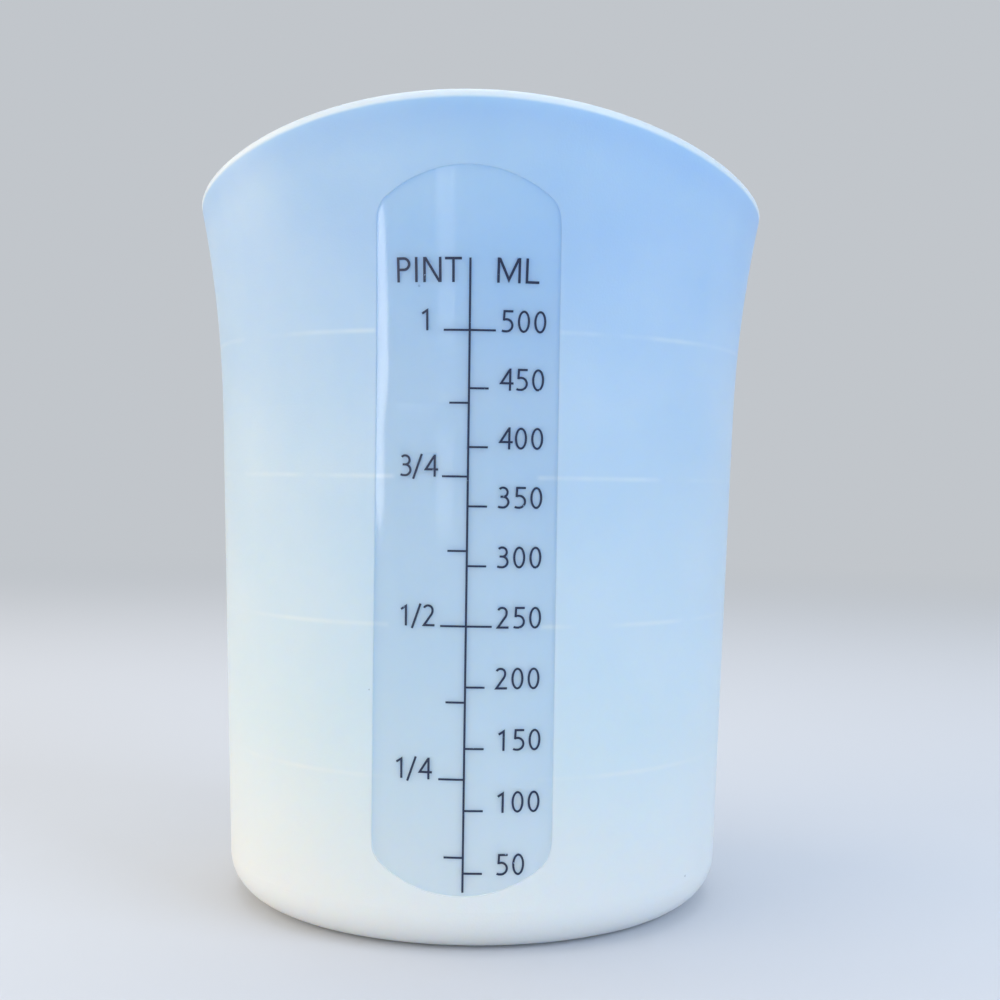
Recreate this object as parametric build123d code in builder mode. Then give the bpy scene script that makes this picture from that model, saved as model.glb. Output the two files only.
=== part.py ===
import os
from math import asin, cos, degrees, pi, radians, sin, sqrt, tan

from build123d import *

# A resin mixing cup moulded in one piece from milky silicone rubber. Its front carries a
# polished panel with a printed scale, in millilitres on the right of a line and in parts of
# a pint on its left. Lengths are in millimetres. The cup stands on z = 0 with its axis on Z,
# and the scale looks along -Y.

# Cup body
base_radius = 42.6  # of the outer wall, carried straight down to the table
wall_draft = radians(1.68)
wall = 2.2
floor = 2.9
corner_radius = 7.1  # outside, between the wall and the base
rim_height = 128.3  # at the front and the back, where the rim is highest
rim_arc_radius = 128.0  # the rim falls away on this arc, to a pouring lip on each side
rim_round_share = 0.45  # of the wall, so that the rim is nearly a full round
flare_height = 45.1  # from where the wall starts to turn out, up to the rim
flare_radius = 207.5
overrun = 3.0  # how far a cutting shape runs past what it cuts

# Raised level lines round the inside, at shares of what the cup holds at the top mark. Each is
# left open behind the scale, over a share of the panel's width.
level_line_rise = 0.3
level_line_shares = (0.25, 0.5, 0.75, 1)
level_line_gap_shares = (0.75, 0.8, 0.75, 0.97)

# Polished panel behind the scale, a shallow sunk face with arched ends
panel_side_margin = 1.84  # beside the widest number
panel_foot_margin = 3.5  # below the lowest tick
panel_rim_margin = 10.5
panel_arch_rise = 5.58
panel_corner_radius = 4.0
panel_depth = 0.2

# Print: the long upright line and the ticks that meet it
ink_thickness = 0.08
line_place = 0.35  # right of the panel's middle
line_width = 0.32
line_foot_margin = 0.6  # above the panel's foot
line_top_drop = 0.08  # under the top of the headings
top_mark_drop = 34.2  # from the rim to the top mark
tick_width = 0.3
short_tick = 2.75
long_tick = 3.7

# Print: digits and headings, with their places measured from the upright line
digit_height = 3.27
digit_pen = 0.33
ml_digits_start = 4.45
ml_digits_drop = 0.26  # from a tick's middle down to the foot of its digits
fraction_end = 4.45
fraction_drop = 0.08
whole_pint_start = 7.45
heading_height = 3.63
heading_pen = 0.38
heading_rise = 6.95  # from the top mark to the foot of the headings
ml_heading_start = 4.0
pint_heading_start = 10.95
sign_reach_share = 0.25  # of a sign's height, how far it is cut through the ink each way

# Each number's share of what the cup holds at the top mark, and how far its digits are set
# away from the upright line, as a share of their height
ml_number_shares = {
    "50": (0.1, 0.16),
    "100": (0.2, 0.09),
    "150": (0.3, 0.09),
    "200": (0.4, 0),
    "250": (0.5, 0.03),
    "300": (0.6, 0),
    "350": (0.7, 0),
    "400": (0.8, 0),
    "450": (0.9, 0),
    "500": (1, 0.06),
}
ml_long_ticks = ("250", "500")
fraction_shares = {"1/4": (0.25, 0.12), "1/2": (0.5, 0.08), "3/4": (0.75, 0)}
fraction_names = {"1/4": "quarter_pint", "1/2": "half_pint", "3/4": "three_quarter_pint"}
pint_tick_shares = (0.125, 0.25, 0.375, 0.5, 0.625, 0.75, 0.875, 1)
pint_long_tick_shares = (0.25, 0.5, 0.75, 1)

# From the start of each sign to the start of the next, as a share of its height, and the
# width of the signs that end a number
advance_shares = dict.fromkeys("012345", 0.755)
advance_shares.update({"/": 0.375, "P": 0.757, "I": 0.34, "N": 0.895, "T": 0.69, "M": 1.157, "L": 0.6})
end_width_shares = {"0": 0.56, "2": 0.56, "4": 0.66}

# The middle of each stroke of the pen, as shares of the sign's height. Two numbers are a
# point that the stroke starts from or runs straight to. Four are an arc: the point that it
# passes through and the point that it ends at. A nought is an oval.
stroke_shares = {
    "1": [[(0.11, 0.75), (0.345, 0.9), (0.345, 0)]],
    "2": [[(0.07, 0.84), (0.28, 0.95, 0.46, 0.72), (0.44, 0.6, 0.375, 0.49), (0.07, 0.05), (0.56, 0.05)]],
    "3": [
        [(0.09, 0.88), (0.28, 0.95, 0.455, 0.755), (0.4, 0.6, 0.22, 0.54), (0.13, 0.54)],
        [(0.22, 0.54), (0.43, 0.46, 0.5, 0.28), (0.41, 0.11, 0.2, 0.05), (0.11, 0.06, 0.03, 0.09)],
    ],
    "4": [[(0.47, 0.93), (0.09, 0.33), (0.66, 0.33)], [(0.5, 1), (0.5, 0)]],
    "5": [
        [(0.54, 0.95), (0.14, 0.95), (0.12, 0.53)],
        [(0.11, 0.56), (0.41, 0.53, 0.51, 0.32), (0.42, 0.12, 0.2, 0.05), (0.12, 0.055, 0.04, 0.085)],
    ],
    "/": [[(-0.125, -0.11), (0.275, 1.03)]],
    "P": [[(0.05, 0), (0.05, 1)], [(0.06, 0.95), (0.29, 0.95), (0.51, 0.725, 0.29, 0.5), (0.06, 0.5)]],
    "I": [[(0.05, 0), (0.05, 1)]],
    "N": [[(0.05, 0), (0.05, 1)], [(0.08, 0.98), (0.67, 0.02)], [(0.7, 0), (0.7, 1)]],
    "T": [[(0, 0.95), (0.69, 0.95)], [(0.345, 0.95), (0.345, 0)]],
    "M": [[(0.05, 0), (0.05, 1)], [(0.09, 0.97), (0.478, 0.125), (0.865, 0.97)], [(0.905, 0), (0.905, 1)]],
    "L": [[(0.06, 1), (0.06, 0.05), (0.58, 0.05)]],
}

# Worked out from the sizes above
flare_start = rim_height - flare_height
flare_foot_radius = base_radius + flare_start * tan(wall_draft)
flare_centre_radius = flare_foot_radius + flare_radius * cos(wall_draft)
flare_centre_height = flare_start - flare_radius * sin(wall_draft)
inner_corner_radius = corner_radius - wall
blank_height = rim_height + overrun
top_mark_height = rim_height - top_mark_drop
heading_foot = top_mark_height + heading_rise
line_top = heading_foot + heading_height - line_top_drop
panel_top = rim_height - panel_rim_margin
slices = 200  # in the sum of the cup's contents
halvings = 40  # in the search for a mark's height
ml_per_cubic_mm = 0.001


def surface_radius(height, inset):
    """Radius, at a height, of the face that lies an inset inside the outer wall."""
    if height < flare_start + inset * sin(wall_draft):
        return base_radius - inset / cos(wall_draft) + height * tan(wall_draft)
    turn = flare_radius + inset
    return flare_centre_radius - sqrt(turn**2 - (height - flare_centre_height) ** 2)


def inside_radius(height):
    """Radius of the inside at a height, with the round where the wall meets the floor."""
    below_round = max(floor + inner_corner_radius - height, 0)
    round_loss = inner_corner_radius - sqrt(inner_corner_radius**2 - below_round**2)
    return surface_radius(height, wall) - round_loss


def contents(height):
    """What the cup holds up to a height, in millilitres."""
    step = (height - floor) / slices
    middles = [floor + step * (number + 0.5) for number in range(slices)]
    return ml_per_cubic_mm * sum(pi * inside_radius(middle) ** 2 * step for middle in middles)


def mark_height(share):
    """Height at which the cup holds that share of what it holds at the scale's top mark."""
    wanted = share * contents(top_mark_height)
    low, high = floor, blank_height
    for _ in range(halvings):
        middle = (low + high) / 2
        if contents(middle) < wanted:
            low = middle
        else:
            high = middle
    return (low + high) / 2


def number_width(digits):
    """Width of a printed number, in millimetres."""
    inner_steps = sum(advance_shares[digit] for digit in digits[:-1])
    return (inner_steps + end_width_shares[digits[-1]]) * digit_height


def draw_wall(inset, foot_height, top_height):
    """Draws the drafted wall and its flare at an inset, between two heights."""
    turn = flare_radius + inset
    joint = (flare_centre_radius - turn * cos(wall_draft), flare_centre_height + turn * sin(wall_draft))
    half_turned = (wall_draft + asin((top_height - flare_centre_height) / turn)) / 2
    middle = (flare_centre_radius - turn * cos(half_turned), flare_centre_height + turn * sin(half_turned))
    Line((surface_radius(foot_height, inset), foot_height), joint)
    ThreePointArc(joint, middle, (surface_radius(top_height, inset), top_height))


def draw_band(outer_inset, inner_inset, foot_height, top_height):
    """Draws the outline of a layer of the wall, between two insets and two heights."""
    draw_wall(outer_inset, foot_height, top_height)
    draw_wall(inner_inset, foot_height, top_height)
    for end_height in (foot_height, top_height):
        outer_end = (surface_radius(end_height, outer_inset), end_height)
        Line(outer_end, (surface_radius(end_height, inner_inset), end_height))


def scale_plane(along, height):
    """Upright plane that touches the panel at a distance round from its middle."""
    radius = surface_radius(height, panel_depth)
    angle = along / radius
    origin = (radius * sin(angle), -radius * cos(angle), height)
    return Plane(origin, x_dir=(cos(angle), sin(angle), 0), z_dir=(sin(angle), -cos(angle), 0))


os.makedirs("parts", exist_ok=True)

# The panel holds the print with a margin round it
print_ends = [
    line_place + ml_digits_start + inset_share * digit_height + number_width(number)
    for number, (_, inset_share) in ml_number_shares.items()
]
panel_width = 2 * (max(print_ends) + panel_side_margin)
panel_foot = min(mark_height(share) for share, _ in ml_number_shares.values()) - panel_foot_margin
line_foot = panel_foot + line_foot_margin

# Cup body, turned: flat base, round corner, drafted wall and flared mouth
mouth_radius = surface_radius(blank_height, 0)
with BuildPart() as cup_body:
    with BuildSketch(Plane.XZ) as section:
        with BuildLine():
            Line((0, 0), (base_radius, 0))
            draw_wall(0, 0, blank_height)
            Line((mouth_radius, blank_height), (surface_radius(blank_height, wall), blank_height))
            draw_wall(wall, floor, blank_height)
            Line((surface_radius(floor, wall), floor), (0, floor))
            Line((0, floor), (0, 0))
        make_face()
        fillet(section.vertices().group_by(Axis.Y)[0].sort_by(Axis.X)[-1], radius=corner_radius)
        fillet(section.vertices().group_by(Axis.Y)[1].sort_by(Axis.X)[-1], radius=inner_corner_radius)
    revolve(axis=Axis.Z)

    # The rim's wave: cut along Y on one arc, then rounded inside and outside
    reach = mouth_radius + overrun
    rim_end_height = rim_height - rim_arc_radius + sqrt(rim_arc_radius**2 - reach**2)
    cut_height = blank_height + overrun
    with BuildSketch(Plane.XZ):
        with BuildLine():
            ThreePointArc((-reach, rim_end_height), (0, rim_height), (reach, rim_end_height))
            Line((reach, rim_end_height), (reach, cut_height))
            Line((reach, cut_height), (-reach, cut_height))
            Line((-reach, cut_height), (-reach, rim_end_height))
        make_face()
    extrude(amount=reach, both=True, mode=Mode.SUBTRACT)
    fillet(cup_body.faces().sort_by(Axis.Z)[-1].edges(), radius=wall * rim_round_share)

    # Raised level lines, half round, open behind the scale
    for share, gap_share in zip(level_line_shares, level_line_gap_shares):
        height = mark_height(share)
        radius = surface_radius(height, wall)
        gap = gap_share * panel_width / radius
        first = (cos(gap / 2 - pi / 2), sin(gap / 2 - pi / 2), 0)
        with BuildSketch(Plane(origin=(0, 0, 0), x_dir=first, z_dir=(first[1], -first[0], 0))):
            with Locations((radius, height)):
                Circle(level_line_rise)
        revolve(axis=Axis.Z, revolution_arc=degrees(2 * pi - gap))

# Polished panel, sunk into the front of the body
with BuildPart() as panel_cut:
    with BuildSketch(Plane.XZ):
        with BuildLine():
            draw_band(-overrun, panel_depth, panel_foot - overrun, panel_top + overrun)
        make_face()
    revolve(axis=Axis.Z)
    side = panel_width / 2
    low_end = panel_foot + panel_arch_rise
    high_end = panel_top - panel_arch_rise
    with BuildSketch(Plane.XZ) as outline:
        with BuildLine():
            ThreePointArc((-side, low_end), (0, panel_foot), (side, low_end))
            Line((side, low_end), (side, high_end))
            ThreePointArc((side, high_end), (0, panel_top), (-side, high_end))
            Line((-side, high_end), (-side, low_end))
        make_face()
        fillet(outline.vertices(), radius=panel_corner_radius)
    extrude(amount=reach, mode=Mode.INTERSECT)
with cup_body:
    add(panel_cut.part, mode=Mode.SUBTRACT)
cup_body.part.label = "cup_body"
export_step(cup_body.part, "parts/cup_body.step")

# The print is one thin film on the panel, and each printed piece is cut from it
with BuildPart() as ink_film:
    with BuildSketch(Plane.XZ):
        with BuildLine():
            draw_band(panel_depth - ink_thickness, panel_depth, panel_foot, panel_top)
        make_face()
    revolve(axis=Axis.Z)
print_reach = surface_radius(panel_top, 0) - surface_radius(panel_foot, 0) + overrun
line_plane = scale_plane(line_place, (line_foot + line_top) / 2)
line_middle = line_plane.origin.Z

# Upright line
with BuildPart() as scale_line:
    with BuildSketch(line_plane):
        Rectangle(line_width, line_top - line_foot)
    extrude(amount=print_reach, both=True)
    add(ink_film.part, mode=Mode.INTERSECT)
scale_line.part.label = "scale_line"
export_step(scale_line.part, "parts/scale_line.step")

# Millilitre ticks, from the right edge of the upright line
with BuildPart() as ml_ticks:
    with BuildSketch(line_plane):
        for number, (share, _) in ml_number_shares.items():
            length = long_tick if number in ml_long_ticks else short_tick
            with Locations((line_width / 2, mark_height(share) - line_middle)):
                Rectangle(length, tick_width, align=(Align.MIN, Align.CENTER))
    extrude(amount=print_reach, both=True)
    add(ink_film.part, mode=Mode.INTERSECT)
ml_ticks.part.label = "ml_ticks"
export_step(ml_ticks.part, "parts/ml_ticks.step")

# Pint ticks, from the left edge of the upright line
with BuildPart() as pint_ticks:
    with BuildSketch(line_plane):
        for share in pint_tick_shares:
            length = long_tick if share in pint_long_tick_shares else short_tick
            with Locations((-line_width / 2, mark_height(share) - line_middle)):
                Rectangle(length, tick_width, align=(Align.MAX, Align.CENTER))
    extrude(amount=print_reach, both=True)
    add(ink_film.part, mode=Mode.INTERSECT)
pint_ticks.part.label = "pint_ticks"
export_step(pint_ticks.part, "parts/pint_ticks.step")


def draw_stroke(stroke, height, left):
    """Draws the middle line of one stroke of a sign whose left foot is at a place on the sketch."""
    start, *steps = stroke
    here = (left + start[0] * height, (start[1] - 0.5) * height)
    for step in steps:
        first = (left + step[0] * height, (step[1] - 0.5) * height)
        if len(step) == 2:
            Line(here, first)
            here = first
        else:
            end = (left + step[2] * height, (step[3] - 0.5) * height)
            ThreePointArc(here, first, end)
            here = end


def print_signs(name, signs, start, foot, height, pen):
    """Prints a row of signs on the panel, each upright where it stands, and writes them as one node."""
    with BuildPart() as ink:
        place = line_place + start
        for sign in signs:
            step = advance_shares[sign] * height
            with BuildSketch(scale_plane(place + step / 2, foot + height / 2)):
                if sign == "0":
                    half_width = end_width_shares[sign] * height / 2
                    with Locations((half_width - step / 2, 0)):
                        Ellipse(half_width, height / 2)
                        Ellipse(half_width - pen, height / 2 - pen, mode=Mode.SUBTRACT)
                else:
                    for stroke in stroke_shares[sign]:
                        with BuildLine():
                            draw_stroke(stroke, height, -step / 2)
                        trace(line_width=pen)
            place += step
        extrude(amount=sign_reach_share * height, both=True)
        add(ink_film.part, mode=Mode.INTERSECT)
    ink.part.label = name
    export_step(ink.part, f"parts/{name}.step")


# Millilitre numbers
for number, (share, inset_share) in ml_number_shares.items():
    start = ml_digits_start + inset_share * digit_height
    foot = mark_height(share) - ml_digits_drop
    print_signs("number_" + number, number, start, foot, digit_height, digit_pen)

# Parts of a pint, which end level beside the long ticks, and the whole pint
for fraction, (share, inset_share) in fraction_shares.items():
    start = -fraction_end - inset_share * digit_height - number_width(fraction)
    foot = mark_height(share) - fraction_drop
    print_signs("number_" + fraction_names[fraction], fraction, start, foot, digit_height, digit_pen)
whole_foot = top_mark_height - fraction_drop
print_signs("number_whole_pint", "1", -whole_pint_start, whole_foot, digit_height, digit_pen)

# Headings over the two columns
print_signs("heading_ml", "ML", ml_heading_start, heading_foot, heading_height, heading_pen)
print_signs("heading_pint", "PINT", -pint_heading_start, heading_foot, heading_height, heading_pen)

print("contents at the top mark, in ml:", round(contents(top_mark_height), 1))
side_lip_height = rim_height - rim_arc_radius + sqrt(rim_arc_radius**2 - surface_radius(rim_height, 0) ** 2)
print("contents at the side lips, in ml:", round(contents(side_lip_height), 1))
print("body volume, in cubic mm:", round(cup_body.part.volume, 1), "valid:", cup_body.part.is_valid)
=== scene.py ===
import math

import bmesh
import bpy
from mathutils import Matrix, Vector


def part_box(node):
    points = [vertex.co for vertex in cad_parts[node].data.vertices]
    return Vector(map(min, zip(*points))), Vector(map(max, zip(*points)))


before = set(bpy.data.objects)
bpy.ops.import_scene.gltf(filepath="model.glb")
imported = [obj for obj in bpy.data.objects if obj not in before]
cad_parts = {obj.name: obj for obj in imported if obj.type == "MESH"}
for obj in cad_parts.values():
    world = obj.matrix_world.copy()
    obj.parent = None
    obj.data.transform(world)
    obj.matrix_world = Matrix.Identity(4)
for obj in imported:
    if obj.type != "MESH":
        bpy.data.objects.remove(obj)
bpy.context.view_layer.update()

# Sizes of the cup in millimetres, as its construction has them
MM = 0.001
CUP_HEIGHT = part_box("cup_body")[1][2] / MM
RIM_ARC_RADIUS = 128.0
PANEL_HALF_WIDTH = 13.7
PANEL_FOOT = 9.3
PANEL_TOP = CUP_HEIGHT - 10.5
PANEL_ARCH_RADIUS = 19.6

# How the finish and its painted light change over the cup, in millimetres: the painted highlight on
# the rim's lip and the painted blue shade below it, the corners and edge of the polished panel, and
# the height in which its painted shade fades
LIP_DEPTH = 1.25
LIP_SOFTNESS = 0.3
LIP_PAINTED_SHADE_DEPTH = 9.0
PANEL_CORNER_BLEND = 3.0
PANEL_EDGE = 0.25
PANEL_FADE = 32.0

# A face of the front wall whose normal leans further than this towards the viewer is outside
OUTSIDE_NORMAL = -0.3

# The level lines, drawn as painted highlights: the number beside each one, how far from the middle
# of the scale it starts, and how far it runs above the foot of that number. A slash reaches lower
# than a 1 does. The painted lines are soft-edged and start softly, and they get fainter towards the
# cup's two sides.
ABOVE_SLASH_FOOT = 0.44
ABOVE_DIGIT_FOOT = 0.08
LEVEL_LINES = (
    ("number_quarter_pint", 10.3, ABOVE_SLASH_FOOT),
    ("number_half_pint", 11.0, ABOVE_SLASH_FOOT),
    ("number_three_quarter_pint", 10.3, ABOVE_SLASH_FOOT),
    ("number_whole_pint", 13.3, ABOVE_DIGIT_FOOT),
)
LEVEL_LINE_SOFTNESS = 0.6
LEVEL_LINE_START = 1.0
SIDE_FADE_FROM = 30.0
SIDE_FADE_TO = 39.0
SIDE_FAINT_SHARE = 0.35

# Patterns, as features in a millimetre: clouds 20 mm wide, patches of level line 11 mm wide,
# one cell for a speck every 7 mm, blasted grain 0.3 mm wide, and a noise 0.7 mm wide in the
# ink, of which only the highest peaks are chips
CLOUDS_PER_MM = 0.05
PATCHES_PER_MM = 0.09
SPECK_CELLS_PER_MM = 0.14
GRAIN_PER_MM = 3.3
CHIP_NOISE_PER_MM = 1.5

# Where each noise starts and stops to count, and how strong the clouds get
PATCH_LOW = 0.35
PATCH_HIGH = 0.6
CLOUD_LOW = 0.3
CLOUD_HIGH = 0.7
CLOUD_MOST = 0.16
SPECK_LOW = 0.7
SPECK_HALF_WIDTH = 0.035
CHIP_LOW = 0.72
CHIP_HIGH = 0.76

# The rubber: its roughness and the share of light that passes straight through, on the wall
# and on the panel, the depth of its grain in millimetres, and how far light spreads in its
# milk, in millimetres and by colour
WALL_ROUGHNESS = 0.42
PANEL_ROUGHNESS = 0.07
WALL_CLEARNESS = 0.17
PANEL_CLEARNESS = 0.2
GRAIN_DEPTH = 0.02
MILK_SPREAD = 3.0
MILK_SPREAD_BY_COLOUR = (1.0, 1.2, 1.5)
SILICONE_IOR = 1.41

# The roughness of the ink film and of the paper
INK_ROUGHNESS = 0.35
PAPER_ROUGHNESS = 0.9

# The rubber's colour by share of the cup's height, with painted light in it: bluer towards the rim
# and paler towards the base
HEIGHT_COLOURS_AND_PAINTED_LIGHT = (
    (0.0, "#F2F9FF"),
    (0.25, "#D8EAFA"),
    (0.55, "#C5DCF1"),
    (0.85, "#ADCDED"),
    (1.0, "#B2D1ED"),
)

# The floor and the surround, in metres
FLOOR_RADIUS = 4.0
FLOOR_SEGMENTS = 96
HAZE_START = 0.15
HAZE_END = 1.1
SURROUND = "#DDE2E8"
SURROUND_STRENGTH = 0.74

# The lights: name, place in metres, width and height, power in watts and tint
LIGHTS = (
    ("left_light", (-0.8, -0.45, 0.3), (0.7, 0.7), 4.15, "#FFEBCF"),
    ("left_edge_light", (-0.85, 0.2, 0.35), (0.5, 0.6), 2.0, "#FFE0B4"),
    ("right_light", (0.75, -0.5, 0.45), (0.6, 0.6), 5.15, "#CBDDF8"),
    ("top_light", (0.0, 0.15, 0.9), (0.7, 0.7), 3.4, "#DCE9FA"),
    ("streak_light", (-0.45, -0.585, 0.1), (0.06, 0.19), 0.26, "#FFFFFF"),
    ("broad_streak_light", (-0.27, -0.64, 0.16), (0.22, 0.17), 0.16, "#F4F8FF"),
    ("low_streak_light", (-0.123, -0.633, 0.035), (0.08, 0.06), 0.024, "#FFFFFF"),
)
LIGHTS_AIM = Vector((0, 0, 0.064))

# The camera, at the photograph's viewing angle
CAMERA_DISTANCE = 256.2 * MM
CAMERA_HEIGHT = 71.9 * MM
CAMERA_LENS = 51.3
CAMERA_SENSOR = 36
CAMERA_CLIP_START = 0.01
CAMERA_AZIMUTH = math.radians(2.38)
CAMERA_PAN = math.radians(0.9)
CAMERA_PITCH = math.radians(-0.77)
CAMERA_ROLL = math.radians(0.85)

SMOOTH = {"interpolation_type": "SMOOTHSTEP"}


def colour(code):
    """An sRGB hex colour as linear red, green, blue and an alpha of 1."""
    shares = [int(code[i : i + 2], 16) / 255 for i in (1, 3, 5)]
    return (*[s / 12.92 if s <= 0.04045 else ((s + 0.055) / 1.055) ** 2.4 for s in shares], 1.0)


def new_material(name):
    """An empty node material."""
    material = bpy.data.materials.new(name)
    material.use_nodes = True
    material.node_tree.nodes.clear()
    return material


def add_node(tree, kind, settings=None, links=None):
    """Adds one node, with its settings and plain input values, and links its inputs."""
    made = tree.nodes.new(kind)
    for name, value in (settings or {}).items():
        if isinstance(name, str) and hasattr(made, name):
            setattr(made, name, value)
        else:
            made.inputs[name].default_value = value
    for name, source in (links or {}).items():
        tree.links.new(source, made.inputs[name])
    return made


def panel_outline(tree, across, height):
    """1 within the panel's straight sides and its two arched ends, and 0 beyond them."""
    side = {"operation": "SUBTRACT", 0: PANEL_HALF_WIDTH}
    inside = add_node(tree, "ShaderNodeMath", side, {1: across}).outputs[0]
    top_centre = PANEL_TOP - PANEL_ARCH_RADIUS
    foot_centre = PANEL_FOOT + PANEL_ARCH_RADIUS
    for centre, sign in ((top_centre, 1), (foot_centre, -1)):
        offset = {"operation": "MULTIPLY_ADD", 1: sign, 2: -sign * centre}
        beyond = add_node(tree, "ShaderNodeMath", offset, {0: height}).outputs[0]
        not_below = {"operation": "MAXIMUM", 1: 0.0}
        beyond = add_node(tree, "ShaderNodeMath", not_below, {0: beyond}).outputs[0]
        arm = add_node(tree, "ShaderNodeCombineXYZ", links={0: across, 1: beyond}).outputs[0]
        length = {"operation": "LENGTH"}
        reach = add_node(tree, "ShaderNodeVectorMath", length, {0: arm}).outputs["Value"]
        arch = {"operation": "SUBTRACT", 0: PANEL_ARCH_RADIUS}
        gap = add_node(tree, "ShaderNodeMath", arch, {1: reach}).outputs[0]
        blend = {"operation": "SMOOTH_MIN", 2: PANEL_CORNER_BLEND}
        inside = add_node(tree, "ShaderNodeMath", blend, {0: inside, 1: gap}).outputs[0]
    edge = {**SMOOTH, "From Min": -PANEL_EDGE, "From Max": PANEL_EDGE}
    return add_node(tree, "ShaderNodeMapRange", edge, {0: inside}).outputs[0]


def outer_face(tree, normal, front):
    """1 on the outside of the cup's front, so that the panel doesn't show on the inside."""
    outward = {"operation": "LESS_THAN", 1: OUTSIDE_NORMAL}
    facing = add_node(tree, "ShaderNodeSeparateXYZ", links={0: normal}).outputs["Y"]
    outer = add_node(tree, "ShaderNodeMath", outward, {0: facing}).outputs[0]
    both = {"operation": "MULTIPLY"}
    return add_node(tree, "ShaderNodeMath", both, {0: outer, 1: front}).outputs[0]


def depth_below_rim(tree, across, height):
    """How many millimetres a place is below the rim's arc."""
    square = {"operation": "POWER", 1: 2.0}
    squared = add_node(tree, "ShaderNodeMath", square, {0: across}).outputs[0]
    left_over = {"operation": "SUBTRACT", 0: RIM_ARC_RADIUS**2}
    risen = add_node(tree, "ShaderNodeMath", left_over, {1: squared}).outputs[0]
    arc = add_node(tree, "ShaderNodeMath", {"operation": "SQRT"}, {0: risen}).outputs[0]
    depth = {"operation": "SUBTRACT"}
    below = add_node(tree, "ShaderNodeMath", depth, {0: arc, 1: height}).outputs[0]
    lift = {"operation": "ADD", 1: CUP_HEIGHT - RIM_ARC_RADIUS}
    return add_node(tree, "ShaderNodeMath", lift, {0: below}).outputs[0]


def painted_level_line_highlights(tree, in_mm, across, height, back):
    """Painted highlights along the raised lines inside, drawn faintly and in patches where the
    lines show through the wall.
    """
    patches = {"Scale": PATCHES_PER_MM, "Detail": 2.0}
    patchy = add_node(tree, "ShaderNodeTexNoise", patches, {"Vector": in_mm}).outputs[0]
    contrast = {"From Min": PATCH_LOW, "From Max": PATCH_HIGH}
    patchy = add_node(tree, "ShaderNodeMapRange", contrast, {0: patchy}).outputs[0]
    side = {**SMOOTH, "From Min": SIDE_FADE_TO, "From Max": SIDE_FADE_FROM}
    side["To Min"] = SIDE_FAINT_SHARE
    beside = add_node(tree, "ShaderNodeMapRange", side, {0: across}).outputs[0]
    both = {"operation": "MULTIPLY"}
    patchy = add_node(tree, "ShaderNodeMath", both, {0: patchy, 1: beside}).outputs[0]
    drawn = []
    for number, start, above_foot in LEVEL_LINES:
        level = {"operation": "SUBTRACT", 1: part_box(number)[0][2] / MM + above_foot}
        away = add_node(tree, "ShaderNodeMath", level, {0: height}).outputs[0]
        away = add_node(tree, "ShaderNodeMath", {"operation": "ABSOLUTE"}, {0: away}).outputs[0]
        soft = {**SMOOTH, "From Min": LEVEL_LINE_SOFTNESS, "From Max": 0.0}
        line = add_node(tree, "ShaderNodeMapRange", soft, {0: away}).outputs[0]
        from_start = {**SMOOTH, "From Min": start, "From Max": start + LEVEL_LINE_START}
        begun = add_node(tree, "ShaderNodeMapRange", from_start, {0: across}).outputs[0]
        either = {"operation": "MAXIMUM"}
        begun = add_node(tree, "ShaderNodeMath", either, {0: begun, 1: back}).outputs[0]
        line = add_node(tree, "ShaderNodeMath", both, {0: line, 1: begun}).outputs[0]
        drawn.append(add_node(tree, "ShaderNodeMath", both, {0: line, 1: patchy}).outputs[0])
    lines = drawn[0]
    sum_up = {"operation": "ADD"}
    for line in drawn[1:]:
        lines = add_node(tree, "ShaderNodeMath", sum_up, {0: lines, 1: line}).outputs[0]
    return lines


def colour_and_painted_light_by_height(tree, height):
    """Bluer where only the wall is behind a place, and paler towards the thick floor: partly the
    rubber's thickness and partly painted light, blue from above and pale from the floor below.
    """
    share = add_node(tree, "ShaderNodeMapRange", {"From Max": CUP_HEIGHT}, {0: height})
    ramp = add_node(tree, "ShaderNodeValToRGB", links={0: share.outputs[0]})
    while len(ramp.color_ramp.elements) < len(HEIGHT_COLOURS_AND_PAINTED_LIGHT):
        ramp.color_ramp.elements.new(1.0)
    for element, (position, code) in zip(ramp.color_ramp.elements, HEIGHT_COLOURS_AND_PAINTED_LIGHT):
        element.position = position
        element.color = colour(code)
    return ramp.outputs[0]


def clouding(tree, in_mm):
    """Faint pale clouds in the milk."""
    clouds = {"Scale": CLOUDS_PER_MM, "Detail": 3.0}
    cloud = add_node(tree, "ShaderNodeTexNoise", clouds, {"Vector": in_mm}).outputs[0]
    faint = {"From Min": CLOUD_LOW, "From Max": CLOUD_HIGH, "To Min": 0.0, "To Max": CLOUD_MOST}
    return add_node(tree, "ShaderNodeMapRange", faint, {0: cloud}).outputs[0]


def caught_specks(tree, in_mm):
    """A few specks caught in the wall, up to half a millimetre across. The size is a share of
    the cell, and only the cells with a high random value have a speck."""
    cells = add_node(tree, "ShaderNodeTexVoronoi", {"Scale": SPECK_CELLS_PER_MM}, {"Vector": in_mm})
    pick = add_node(tree, "ShaderNodeSeparateColor", links={0: cells.outputs["Color"]})
    few = {"From Min": SPECK_LOW, "From Max": 1.0, "To Min": 0.0, "To Max": SPECK_HALF_WIDTH}
    size = add_node(tree, "ShaderNodeMapRange", few, {0: pick.outputs["Red"]}).outputs[0]
    near = {0: cells.outputs["Distance"], 1: size}
    return add_node(tree, "ShaderNodeMath", {"operation": "LESS_THAN"}, near).outputs[0]


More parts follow.
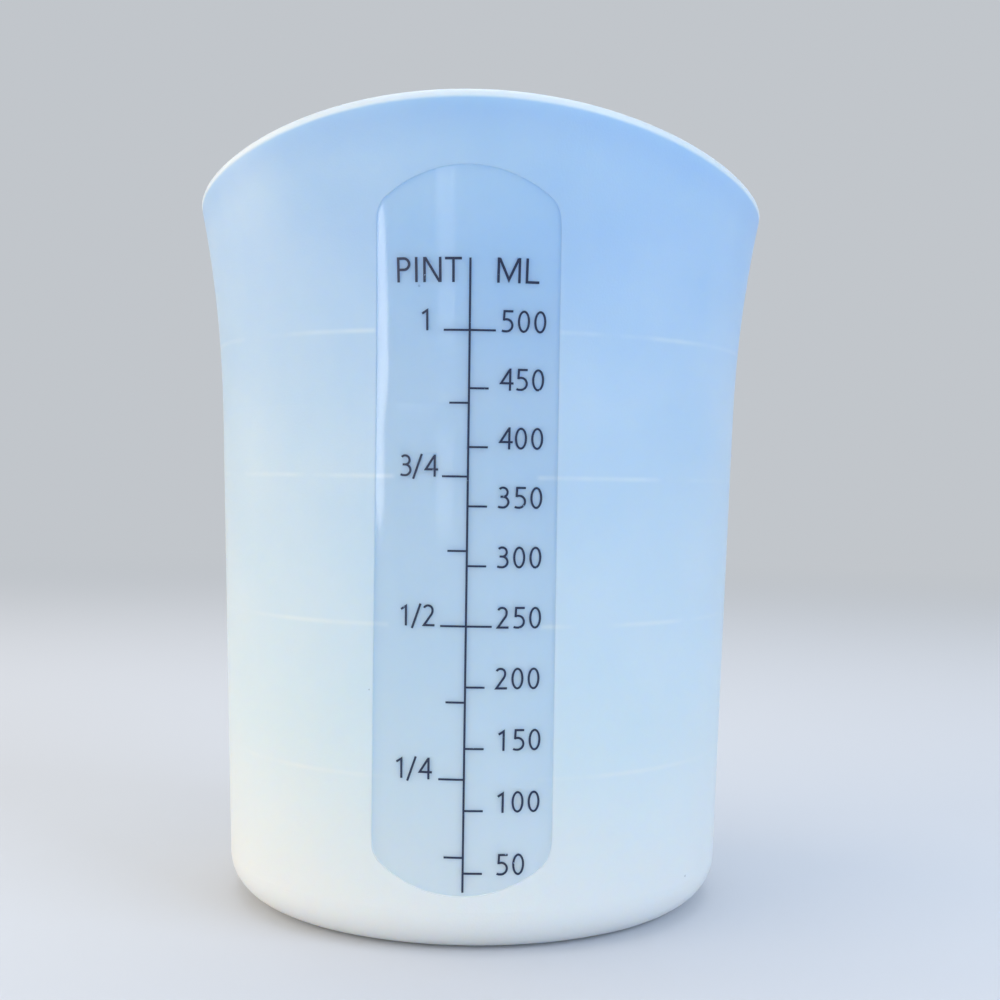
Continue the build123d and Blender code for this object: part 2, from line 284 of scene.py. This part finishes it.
def moulded_silicone():
    """Silicone rubber, milky and moulded in one shot. The mould was blasted, which leaves the wall
    satin: it takes a soft wide sheen and hides what is behind it. The panel's part of the mould was
    polished, so there the rubber is clearer and mirrors the lights, and a painted shade makes it
    darker. Its colour also holds painted light: a blue-to-pale run by height, a painted highlight
    on the rim's lip with painted shade below it, and painted highlights along the level lines."""
    material = new_material("silicone_moulded_milky")
    tree = material.node_tree
    coordinates = add_node(tree, "ShaderNodeTexCoord").outputs
    to_mm = {"operation": "SCALE", "Scale": 1 / MM}
    in_mm = add_node(tree, "ShaderNodeVectorMath", to_mm, {0: coordinates["Object"]}).outputs[0]
    axes = add_node(tree, "ShaderNodeSeparateXYZ", links={0: in_mm}).outputs
    height = axes["Z"]
    across = add_node(tree, "ShaderNodeMath", {"operation": "ABSOLUTE"}, {0: axes["X"]}).outputs[0]
    at_front = {"operation": "LESS_THAN", 1: 0.0}
    front = add_node(tree, "ShaderNodeMath", at_front, {0: axes["Y"]}).outputs[0]
    rest = {"operation": "SUBTRACT", 0: 1.0}
    back = add_node(tree, "ShaderNodeMath", rest, {1: front}).outputs[0]

    # The polished panel, and how deep it looks, through a clearer rubber and a painted shade: both
    # fade into the wall towards its top
    both = {"operation": "MULTIPLY"}
    outline = panel_outline(tree, across, height)
    outer = outer_face(tree, coordinates["Normal"], front)
    polished_and_painted_shade = add_node(tree, "ShaderNodeMath", both, {0: outline, 1: outer}).outputs[0]
    fading = {**SMOOTH, "From Min": PANEL_TOP, "From Max": PANEL_TOP - PANEL_FADE}
    low = add_node(tree, "ShaderNodeMapRange", fading, {0: height}).outputs[0]
    clear_depth_and_painted_shade = add_node(tree, "ShaderNodeMath", both, {0: polished_and_painted_shade, 1: low}).outputs[0]

    # The painted highlight on the rim's lip and the painted blue shade just below it
    below = depth_below_rim(tree, across, height)
    lip_end = {"From Min": LIP_DEPTH + LIP_SOFTNESS, "From Max": LIP_DEPTH - LIP_SOFTNESS}
    painted_lip_highlight = add_node(tree, "ShaderNodeMapRange", {**SMOOTH, **lip_end}, {0: below}).outputs[0]
    shade_end = {"From Min": LIP_PAINTED_SHADE_DEPTH, "From Max": LIP_DEPTH}
    painted_shade_below_lip = add_node(tree, "ShaderNodeMapRange", {**SMOOTH, **shade_end}, {0: below}).outputs[0]

    # The colour by height, partly painted light, with each tint laid over it by its own amount and
    # share; the panel's, the lip's and the level lines' tints are painted shade and painted
    # highlights
    tone = colour_and_painted_light_by_height(tree, height)
    for code, amount, share in (
        ("#F0F5F8", clouding(tree, in_mm), 1.0),
        ("#6F8498", caught_specks(tree, in_mm), 0.5),
        # painted shade: the panel darker and bluer, in place of the view into the cup
        ("#A8CDF6", polished_and_painted_shade, 0.14),
        # more painted shade in the panel, fading towards its top
        ("#8FB0D2", clear_depth_and_painted_shade, 0.12),
        # painted blue shade below the rim's lip
        ("#8DB8E6", painted_shade_below_lip, 0.3),
        # painted highlights along the level lines
        ("#F0F6FB", painted_level_line_highlights(tree, in_mm, across, height, back), 0.36),
        # painted highlight on the rim's lip
        ("#E6ECEF", painted_lip_highlight, 0.72),
    ):
        partly = {"operation": "MULTIPLY", 1: share}
        part = add_node(tree, "ShaderNodeMath", partly, {0: amount}).outputs[0]
        tint = {"data_type": "RGBA", 7: colour(code)}
        tone = add_node(tree, "ShaderNodeMix", tint, {0: part, 6: tone}).outputs[2]

    # The mould's texture: a blasted grain on the wall and none on the panel
    fine = {"Scale": GRAIN_PER_MM, "Detail": 2.0}
    grain = add_node(tree, "ShaderNodeTexNoise", fine, {"Vector": in_mm}).outputs[0]
    satin = add_node(tree, "ShaderNodeMapRange", {"To Min": 1.0, "To Max": 0.0}, {0: polished_and_painted_shade})
    blasted = {"Height": grain, "Strength": satin.outputs[0]}
    bump = add_node(tree, "ShaderNodeBump", {"Distance": GRAIN_DEPTH * MM}, blasted)
    gloss = {"To Min": WALL_ROUGHNESS, "To Max": PANEL_ROUGHNESS}
    roughness = add_node(tree, "ShaderNodeMapRange", gloss, {0: polished_and_painted_shade})
    clearness = {"To Min": WALL_CLEARNESS, "To Max": PANEL_CLEARNESS}
    clear = add_node(tree, "ShaderNodeMapRange", clearness, {0: clear_depth_and_painted_shade})
    milk = {
        "IOR": SILICONE_IOR,
        "Subsurface Weight": 1.0,
        "Subsurface Radius": MILK_SPREAD_BY_COLOUR,
        "Subsurface Scale": MILK_SPREAD * MM,
    }
    surface = {
        "Base Color": tone,
        "Roughness": roughness.outputs[0],
        "Transmission Weight": clear.outputs[0],
        "Normal": bump.outputs[0],
    }
    rubber = add_node(tree, "ShaderNodeBsdfPrincipled", milk, surface)
    add_node(tree, "ShaderNodeOutputMaterial", links={"Surface": rubber.outputs["BSDF"]})
    return material


def printed_ink():
    """Screen-printed ink: a dense navy film with a slight gloss, chipped in a few small spots."""
    material = new_material("ink_screen_printed")
    tree = material.node_tree
    place = add_node(tree, "ShaderNodeTexCoord").outputs["Object"]
    spots = {"Scale": CHIP_NOISE_PER_MM / MM, "Detail": 2.0}
    chips = add_node(tree, "ShaderNodeTexNoise", spots, {"Vector": place}).outputs[0]
    rare = {"From Min": CHIP_LOW, "From Max": CHIP_HIGH}
    chips = add_node(tree, "ShaderNodeMapRange", rare, {0: chips}).outputs[0]
    inks = {"data_type": "RGBA", 6: colour("#1B2644"), 7: colour("#8FA9C8")}
    worn = add_node(tree, "ShaderNodeMix", inks, {0: chips}).outputs[2]
    gloss = {"Roughness": INK_ROUGHNESS}
    film = add_node(tree, "ShaderNodeBsdfPrincipled", gloss, {"Base Color": worn})
    add_node(tree, "ShaderNodeOutputMaterial", links={"Surface": film.outputs["BSDF"]})
    return material


def matt_paper():
    """Pale matt paper with no sheen, which runs out into the even surround with no edge."""
    material = new_material("paper_matt")
    tree = material.node_tree
    pale = {"Base Color": colour("#D4D6D9"), "Roughness": PAPER_ROUGHNESS}
    sheet = add_node(tree, "ShaderNodeBsdfPrincipled", pale)
    place = add_node(tree, "ShaderNodeTexCoord").outputs["Object"]
    length = {"operation": "LENGTH"}
    far = add_node(tree, "ShaderNodeVectorMath", length, {0: place}).outputs["Value"]
    haze_reach = {**SMOOTH, "From Min": HAZE_START, "From Max": HAZE_END}
    haze = add_node(tree, "ShaderNodeMapRange", haze_reach, {0: far}).outputs[0]
    even = {"Color": colour(SURROUND), "Strength": SURROUND_STRENGTH}
    backdrop = add_node(tree, "ShaderNodeEmission", even)
    layers = {0: haze, 1: sheet.outputs["BSDF"], 2: backdrop.outputs["Emission"]}
    joined = add_node(tree, "ShaderNodeMixShader", links=layers)
    add_node(tree, "ShaderNodeOutputMaterial", links={"Surface": joined.outputs["Shader"]})
    return material


def add_floor():
    """A wide round sheet of paper that the cup stands on."""
    bm = bmesh.new()
    bmesh.ops.create_circle(bm, cap_ends=True, radius=FLOOR_RADIUS, segments=FLOOR_SEGMENTS)
    mesh = bpy.data.meshes.new("floor")
    bm.to_mesh(mesh)
    bm.free()
    mesh.materials.append(matt_paper())
    floor = bpy.data.objects.new("floor", mesh)
    bpy.context.scene.collection.objects.link(floor)


def add_surround():
    """An even pale light from all round."""
    world = bpy.data.worlds.new("studio")
    world.use_nodes = True
    background = world.node_tree.nodes["Background"]
    background.inputs["Color"].default_value = colour(SURROUND)
    background.inputs["Strength"].default_value = SURROUND_STRENGTH
    bpy.context.scene.world = world


def add_light(name, place, size, power, tint):
    """A soft rectangular light that faces the middle of the cup."""
    data = bpy.data.lights.new(name, "AREA")
    data.shape = "RECTANGLE"
    data.size, data.size_y = size
    data.energy = power
    data.color = colour(tint)[:3]
    light = bpy.data.objects.new(name, data)
    bpy.context.scene.collection.objects.link(light)
    light.location = place
    light.rotation_mode = "QUATERNION"
    light.rotation_quaternion = (Vector(place) - LIGHTS_AIM).to_track_quat("Z", "Y")


def add_camera():
    """The camera, a little to the right of the scale and just above the middle of the cup."""
    data = bpy.data.cameras.new("camera")
    data.lens = CAMERA_LENS
    data.sensor_width = CAMERA_SENSOR
    data.clip_start = CAMERA_CLIP_START
    camera = bpy.data.objects.new("camera", data)
    bpy.context.scene.collection.objects.link(camera)
    level = math.pi / 2 + CAMERA_PITCH
    camera.matrix_world = (
        Matrix.Rotation(CAMERA_AZIMUTH, 4, "Z")
        @ Matrix.Translation((0, -CAMERA_DISTANCE, CAMERA_HEIGHT))
        @ (Matrix.Rotation(-CAMERA_PAN, 4, "Z") @ Matrix.Rotation(level, 4, "X"))
        @ Matrix.Rotation(CAMERA_ROLL, 4, "Z")
    )
    bpy.context.scene.camera = camera


# The cup and its printed scale
silicone = moulded_silicone()
ink = printed_ink()
for name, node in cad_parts.items():
    node.material_slots[0].material = silicone if name == "cup_body" else ink

# The studio: warm soft light from the left, cool from the right, and three small lights that
# draw the upright streaks on the polished panel
add_floor()
add_surround()
for light in LIGHTS:
    add_light(*light)
add_camera()
bpy.context.scene.view_settings.view_transform = "Standard"
